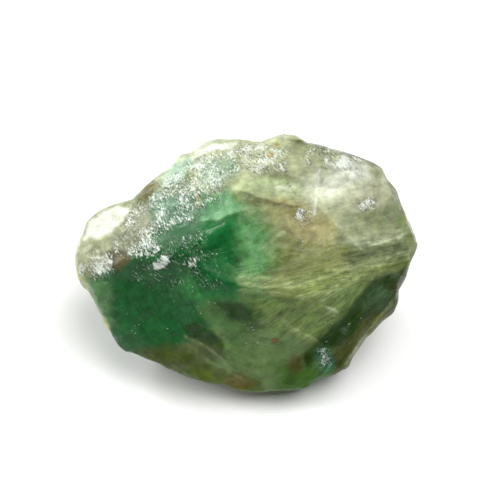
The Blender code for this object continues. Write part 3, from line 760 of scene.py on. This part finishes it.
# How thickly tiny painted glints lie scattered, and where.
GLINTS = [
    (0.10, [(-21, 0), (-8, 0), (-5, -4), (-6.5, -8), (-12, -13), (-21, -14)]),
    (0.04, [(-27, -6), (-21, -6), (-21, -15.5), (-26.5, -16)]),
    (0.30, [(-19.5, -2.5), (-16.8, -2.5), (-16.8, -6.7), (-19.5, -6.7)]),
    (0.60, [(-11.6, -2.3), (-5.3, -3.2), (-5.3, -4.4), (-11.6, -5.7)]),
    (0.70, [(-26.2, -15.7), (-21.8, -11.4), (-21, -12.6), (-25.2, -16.6)]),
    (0.75, [(-8.2, -7.6), (-4.6, -7.6), (-4.2, -10.3), (-7.4, -10.3)]),
    (0.25, [(-2.7, -11.2), (3.8, -11.2), (3.4, -15.8), (-2.3, -15.8)]),
    (0.18, [(10, 11), (19, 8), (18, 3), (14, 1.5), (9, 3.5), (11, 7.5)]),
    (0.50, [(8.5, 2.6), (14.8, 3), (14.8, 2), (8.5, 1.7)]),
    (1.00, [(-7.8, 2.7), (-3.6, 2.7), (-3.6, 1.5), (-7.8, 1.5)]),
    (0.80, [(20.5, -11), (24, -10.4), (24, -12), (20.5, -12.8)]),
    (0.12, [(14, 24), (27, 19), (32, 12), (27, 9), (20, 13)]),
    (0.16, [(14, -11), (24, -10), (24, -14), (18, -20), (13, -18)]),
]  # fmt: skip

SIDE_FADE = 4.0  # how wide, in depth, the best side's own marks fade out over
CLOUDS = ((6.0, 1.0, 81), (2.5, 0.7, 82), (1.1, 0.5, 83))  # its light and dark clouds' grain, share and seed
CLOUD_DEPTH = 0.16
STREAK_SWAY = 0.35  # how far a streak wanders from its route
STREAK_LEFT = 0.15  # how wide it fades to its left
STREAK_SHARE = 0.85  # how much of it shows, more or less by noise
STREAK_GRAIN = 2.0
STREAK_SEED = 90
TINT_RANGE = (0.003, 0.9)
FIBRE_BORDER = 4.0
GLINT_BORDER = 1.0
BACK_FIBRES = 0.35  # how strongly level fibres show all over the back


def beside(spot, route):
    """How far each point is from a route (across, up): more than 0 on its left, less on its right."""
    spot = spot[:, :2]
    nearest = np.full(len(spot), np.inf)
    for start, end in zip(np.array(route[:-1]), np.array(route[1:])):
        (run_across, run_up), (off_across, off_up) = end - start, (spot - start).T
        left = np.where(run_across * off_up > run_up * off_across, 1, -1)
        gap = gap_to(spot, start, end)
        nearest = np.where(gap < np.abs(nearest), gap * left, nearest)
    return nearest


def stained(tint, colour, share):
    """The tints with a share of each point's own turned to colour."""
    return tint + (np.array(colour) - tint) * share[:, None]


best_side = np.clip(points[:, 2] / SIDE_FADE + 1, 0, 1)
not_back = np.clip(points[:, 2] / SIDE_FADE + 2, 0, 1)
tint = np.tile(OLIVE, (len(points), 1))
for colour, corners, soft in ZONES.values():
    tint = stained(tint, colour, zone(spot, corners, soft))
for colour, corners, soft in RINDS.values():
    tint = stained(tint, colour, not_back * zone(spot, corners, soft))
clouds = zip((spot, spot, points), CLOUDS)
clouding = sum(share * noise(place, grain, seed) for place, (grain, share, seed) in clouds)
tint *= (1 + CLOUD_DEPTH * clouding)[:, None]
for number, (route, width, strength, colour) in enumerate(STREAKS):
    side = beside(points + STREAK_SWAY * fine_warp, route)
    shape = np.exp(-np.abs(side) / np.where(side < 0, width, STREAK_LEFT))
    patchy = np.clip(STREAK_SHARE + noise(points, STREAK_GRAIN, STREAK_SEED + number), 0, 1)
    tint = stained(tint, colour, strength * shape * best_side * patchy)
tint = np.clip(tint, *TINT_RANGE)

shares = {"frost": frost}
for name, (_, fields) in FIBRES.items():
    shares[name] = np.max([share * zone(spot, corners, FIBRE_BORDER) for share, corners in fields], axis=0)
shares["glint"] = np.max([share * zone(spot, corners, GLINT_BORDER) for share, corners in GLINTS], axis=0)
shares["level"] = np.maximum(shares["level"], BACK_FIBRES * (1 - best_side))
for name, share in shares.items():
    mesh.attributes.new(name, "FLOAT", "POINT").data.foreach_set("value", share)
colours = mesh.color_attributes.new("tint", "FLOAT_COLOR", "POINT")
colours.data.foreach_set("color", np.concatenate([tint, np.ones((len(tint), 1))], axis=1).ravel())
mesh.attributes.new("own_place", "FLOAT_VECTOR", "POINT").data.foreach_set("vector", own_place.ravel())

# Each fine cloud in the stone: its size in millimetres along its angle, across it and inwards, how many finer
# ones are laid over it, how strong each of those is to the last, and how far it is bent.
SHADE_CLOUD = ((2.0, 2.0, 2.0), 6, 0.66)
FIBRE_CLOUD = ((6.0, 0.65, 2.0), 5, 0.65)
THREAD_CLOUD = ((12.0, 0.50, 2.2), 3, 0.55)
FLECK_CLOUDS = (((1.2, 0.4, 0.6), 6, 0.7, 0.2), ((0.55, 0.25, 0.4), 6, 0.7, 0.2))
GAP_CLOUD = ((1.0, 0.45, 0.6), 5, 0.7)
GLOSS_CLOUD = ((1.4, 1.4, 1.4), 3)
PIT_CLOUD = ((0.6, 0.6, 0.6), 5)
FLECK_ANGLE = -52  # in degrees
GLINT_ANGLE, GLINT_SIZE = 20, (1.1, 0.35, 0.5)
FLAKE_ANGLE, FLAKE_SIZE = 24, (3.4, 1.2, 1.8)
CRYSTAL_SIZE = (0.5, 0.5, 0.5)

# What a cloud or a distance becomes: from one value to another of it, made one value to another.
SHADE = (0.36, 0.64, 0.76, 1.24)
FIBRE_SHADE = (0.32, 0.68, -0.32, 0.32)
THREAD_SHADE = (0.0, 0.024, 0.75, 0.0)
FLECK_EDGE = (0.69, 0.77)
FLECK_START = (0.0, 0.1, 0.0, 1.0)
GAP_DARK = (0.40, 0.52, 0.6, 0.0)
GAP_START = (0.1, 0.4, 0.0, 1.0)
GLINT_BRIGHT = (0.08, 0.28, 0.9, 0.0)
GLINT_LUCK = (0.3, 1.0, 0.05, 1.0)
GLOSS_ROUGHNESS = (0.35, 0.65, 0.10, 0.22)

FLECK_WHITES = (0.88, 0.68)  # how much of FROST_WHITE the large flecks and the small ones have
FLECK_GAIN = 0.34  # how much thicker they lie where the frost is full
FLECK_COAT = 0.8  # how much of a glassy coat they have
FROST_WHITE = (0.82, 0.88, 0.80, 1)
FIBRE_HEIGHT = 0.0003  # in metres
FLAKE_HEIGHT = 0.00055
CRYSTAL_HEIGHT = 0.0005
PIT_HEIGHT = 0.00012


def green_stone():
    """Glassy, cloudy green stone, with fine fibres, a white frost of crystals, and tiny painted glints."""
    material = bpy.data.materials.new("green_stone")
    material.use_nodes = True
    nodes, links = material.node_tree.nodes, material.node_tree.links
    finish = nodes["Principled BSDF"]
    finish.inputs["IOR"].default_value = 1.43
    finish.inputs["Specular IOR Level"].default_value = 0.14
    finish.inputs["Subsurface Weight"].default_value = 0.15
    finish.inputs["Subsurface Radius"].default_value = (0.8, 1.0, 0.7)
    finish.inputs["Subsurface Scale"].default_value = 0.0008
    finish.inputs["Transmission Weight"].default_value = 0.12
    finish.inputs["Coat Roughness"].default_value = 0.10

    def node(kind, inputs, **settings):
        """The outputs of a new node with these settings, and each input linked or set as given."""
        made = nodes.new("ShaderNode" + kind)
        for name, value in settings.items():
            setattr(made, name, value)
        for key, value in inputs.items():
            if isinstance(value, bpy.types.NodeSocket):
                links.new(value, made.inputs[key])
            else:
                made.inputs[key].default_value = value
        return made.outputs

    def attribute(name, output="Fac"):
        return node("Attribute", {}, attribute_name=name)[output]

    def number_math(operation, first, *others):
        """Numbers worked together one after another."""
        for other in others:
            first = node("Math", {0: first, 1: other}, operation=operation)[0]
        return first

    def plus(*numbers):
        return number_math("ADD", *numbers)

    def times(*numbers):
        return number_math("MULTIPLY", *numbers)

    def vector_math(operation, first, second, output="Vector"):
        return node("VectorMath", {0: first, 1: second}, operation=operation)[output]

    def ranged(value, start, end, low, high):
        """A value from start to end, made low to high."""
        bounds = {"From Min": start, "From Max": end, "To Min": low, "To Max": high}
        return node("MapRange", {"Value": value, **bounds})["Result"]

    def laid(angle, sizes):
        """The stone's own place in mm, turned so that its first number runs along angle, over sizes."""
        turned = {"Vector": own, "Rotation": (0, 0, math.radians(angle)), "Scale": sizes}
        return node("Mapping", turned, vector_type="TEXTURE")["Vector"]

    def cloud(angle, sizes, detail, roughness=0.5, distortion=0.0):
        shape = {"Scale": 1.0, "Detail": detail, "Roughness": roughness, "Distortion": distortion}
        return node("TexNoise", {"Vector": laid(angle, sizes), **shape})["Fac"]

    def cells(place):
        return node("TexVoronoi", {"Vector": place, "Scale": 1.0})

    def leaning(place):
        """The height of small flat faces, one to a cell, each leaning the way that its random colour says."""
        cell = cells(place)
        lean = vector_math("SUBTRACT", cell["Color"], (0.5, 0.5, 0.5))
        return vector_math("DOT_PRODUCT", lean, vector_math("SUBTRACT", place, cell["Position"]), "Value")

    own = attribute("own_place", "Vector")
    frosting = attribute("frost")

    # Cloudy shade, with fibres: long thin clouds along each crack plane, and thin bright lines where finer
    # ones pass through their middle value.
    shades = [ranged(cloud(0, *SHADE_CLOUD), *SHADE)]
    fibre_heights = []
    for name, (angle, _) in FIBRES.items():
        share = attribute(name)
        fibre = cloud(angle, *FIBRE_CLOUD)
        off_middle = number_math("SUBTRACT", cloud(angle, *THREAD_CLOUD), 0.5)
        line = ranged(number_math("ABSOLUTE", off_middle, 0), *THREAD_SHADE)
        shades.append(plus(times(ranged(fibre, *FIBRE_SHADE), share), times(line, share)))
        fibre_heights.append(times(fibre, share, FIBRE_HEIGHT))

    # Frost: white flecks where a cloud along its grain is thick enough, partly the crystals' own white and
    # partly painted glints, and dark gaps between them.
    some = ranged(frosting, *FLECK_START)
    flecks = []
    for own_cloud, white in zip(FLECK_CLOUDS, FLECK_WHITES):
        thick = plus(cloud(FLECK_ANGLE, *own_cloud), times(frosting, FLECK_GAIN))
        flecks.append(times(ranged(thick, *FLECK_EDGE, 0.0, white), some))
    fleck = number_math("MAXIMUM", *flecks)
    gap = times(ranged(cloud(FLECK_ANGLE, *GAP_CLOUD), *GAP_DARK), ranged(frosting, *GAP_START))
    shading = times(plus(*shades), number_math("SUBTRACT", 1.0, gap))

    # Painted glints: some of a scatter of short dashes, each as bright as its luck, mixed in as white.
    dash = cells(laid(GLINT_ANGLE, GLINT_SIZE))
    luck = node("SeparateColor", {"Color": dash["Color"]})
    chosen = number_math("LESS_THAN", luck["Red"], attribute("glint"))
    bright = ranged(luck["Green"], *GLINT_LUCK)
    glint = times(ranged(dash["Distance"], *GLINT_BRIGHT), bright, chosen)

    tinted = {0: attribute("tint", "Color"), "Scale": shading}
    stone_colour = node("VectorMath", tinted, operation="SCALE")["Vector"]
    frosted = {"Factor": number_math("MAXIMUM", fleck, glint), 6: stone_colour, 7: FROST_WHITE}
    links.new(node("Mix", frosted, data_type="RGBA")[2], finish.inputs["Base Color"])
    links.new(ranged(cloud(0, *GLOSS_CLOUD), *GLOSS_ROUGHNESS), finish.inputs["Roughness"])
    links.new(times(fleck, FLECK_COAT), finish.inputs["Coat Weight"])

    # Relief: small crystals in the frost, flakes split off along the cleavage, pits, and the fibres' ridges.
    crystal_height = times(leaning(laid(0, CRYSTAL_SIZE)), times(frosting, CRYSTAL_HEIGHT))
    flake_height = times(leaning(laid(FLAKE_ANGLE, FLAKE_SIZE)), FLAKE_HEIGHT)
    pits = times(cloud(0, *PIT_CLOUD), PIT_HEIGHT)
    height = plus(crystal_height, plus(pits, flake_height), plus(*fibre_heights))
    normal = node("Bump", {"Height": height, "Distance": 1.0})["Normal"]
    links.new(normal, finish.inputs["Normal"])
    links.new(normal, finish.inputs["Coat Normal"])
    return material


mesh.materials.append(green_stone())
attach(stone, "root")
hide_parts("stone")

# The floor.
# A plain sheet of matt white card, far wider than the stone, which only lies on it.

FLOOR_HALF = 2.0  # half its side, in metres
FLOOR_WHITE = (0.86, 0.86, 0.85, 1)
FLOOR_ROUGHNESS = 0.6

floor_mesh = bpy.data.meshes.new("floor")
floor_corners = [(x * FLOOR_HALF, y * FLOOR_HALF, 0) for x, y in ((-1, -1), (1, -1), (1, 1), (-1, 1))]
floor_mesh.from_pydata(floor_corners, [], [(0, 1, 2, 3)])
floor = placed("floor", floor_mesh)
card = bpy.data.materials.new("floor")
card.use_nodes = True
card_finish = card.node_tree.nodes["Principled BSDF"]
card_finish.inputs["Base Color"].default_value = FLOOR_WHITE
card_finish.inputs["Roughness"].default_value = FLOOR_ROUGHNESS
floor_mesh.materials.append(card)

# Light and camera.
# Three square soft lights in a dim white room: one on the left, one behind it on the left, and a broad one
# overhead. The camera looks square at the stone's best side.

# Where each light is, how wide it is, in metres, and its power in watts.
LIGHTS = {
    "left_window": ((-0.88, 0.10, 0.46), 0.36, 7),
    "back_window": ((-0.56, 0.70, 0.36), 0.26, 4),
    "overhead": ((0.42, 0.08, 0.90), 1.0, 14),
}
LIT_PLACE = (0, 0, 0.02)  # where they aim: the middle of the stone
ROOM_STRENGTH = 0.22
SENSOR = 36.0
LENS = 100.0
FRAME_PIXELS = 500
MM_PER_PIXEL = 0.21  # at the heart
HEART_PIXEL = (246, 263)  # where the heart is in the frame, from its top left corner

for name, (place, side, power) in LIGHTS.items():
    lamp = bpy.data.lights.new(name, "AREA")
    lamp.size = side
    lamp.energy = power
    holder = placed(name, lamp)
    holder.location = place
    holder.rotation_euler = (Vector(LIT_PLACE) - Vector(place)).to_track_quat("-Z", "Y").to_euler()

world = bpy.data.worlds.new("room")
world.use_nodes = True
world.node_tree.nodes["Background"].inputs["Color"].default_value = (1, 1, 1, 1)
world.node_tree.nodes["Background"].inputs["Strength"].default_value = ROOM_STRENGTH
bpy.context.scene.world = world
bpy.context.scene.view_settings.view_transform = "Standard"

camera_data = bpy.data.cameras.new("camera")
camera_data.lens = LENS
camera_data.sensor_width = SENSOR
camera = placed("camera", camera_data)
heart = Vector((-BOX_MIDDLE[0], -BOX_MIDDLE[1], FOOT_DEPTH - FOOT_FLAT)) * MM
toward = Vector((0, -math.cos(LEAN), math.sin(LEAN)))
over = Vector((0, math.sin(LEAN), math.cos(LEAN)))
right_shift = (FRAME_PIXELS / 2 - HEART_PIXEL[0]) * MM_PER_PIXEL * MM
up_shift = (HEART_PIXEL[1] - FRAME_PIXELS / 2) * MM_PER_PIXEL * MM
aim = heart + Vector((right_shift, 0, 0)) + over * up_shift
camera.location = aim + toward * (MM_PER_PIXEL * MM * FRAME_PIXELS * LENS / SENSOR)
camera.rotation_euler = (-toward).to_track_quat("-Z", "Y").to_euler()
bpy.context.scene.camera = camera
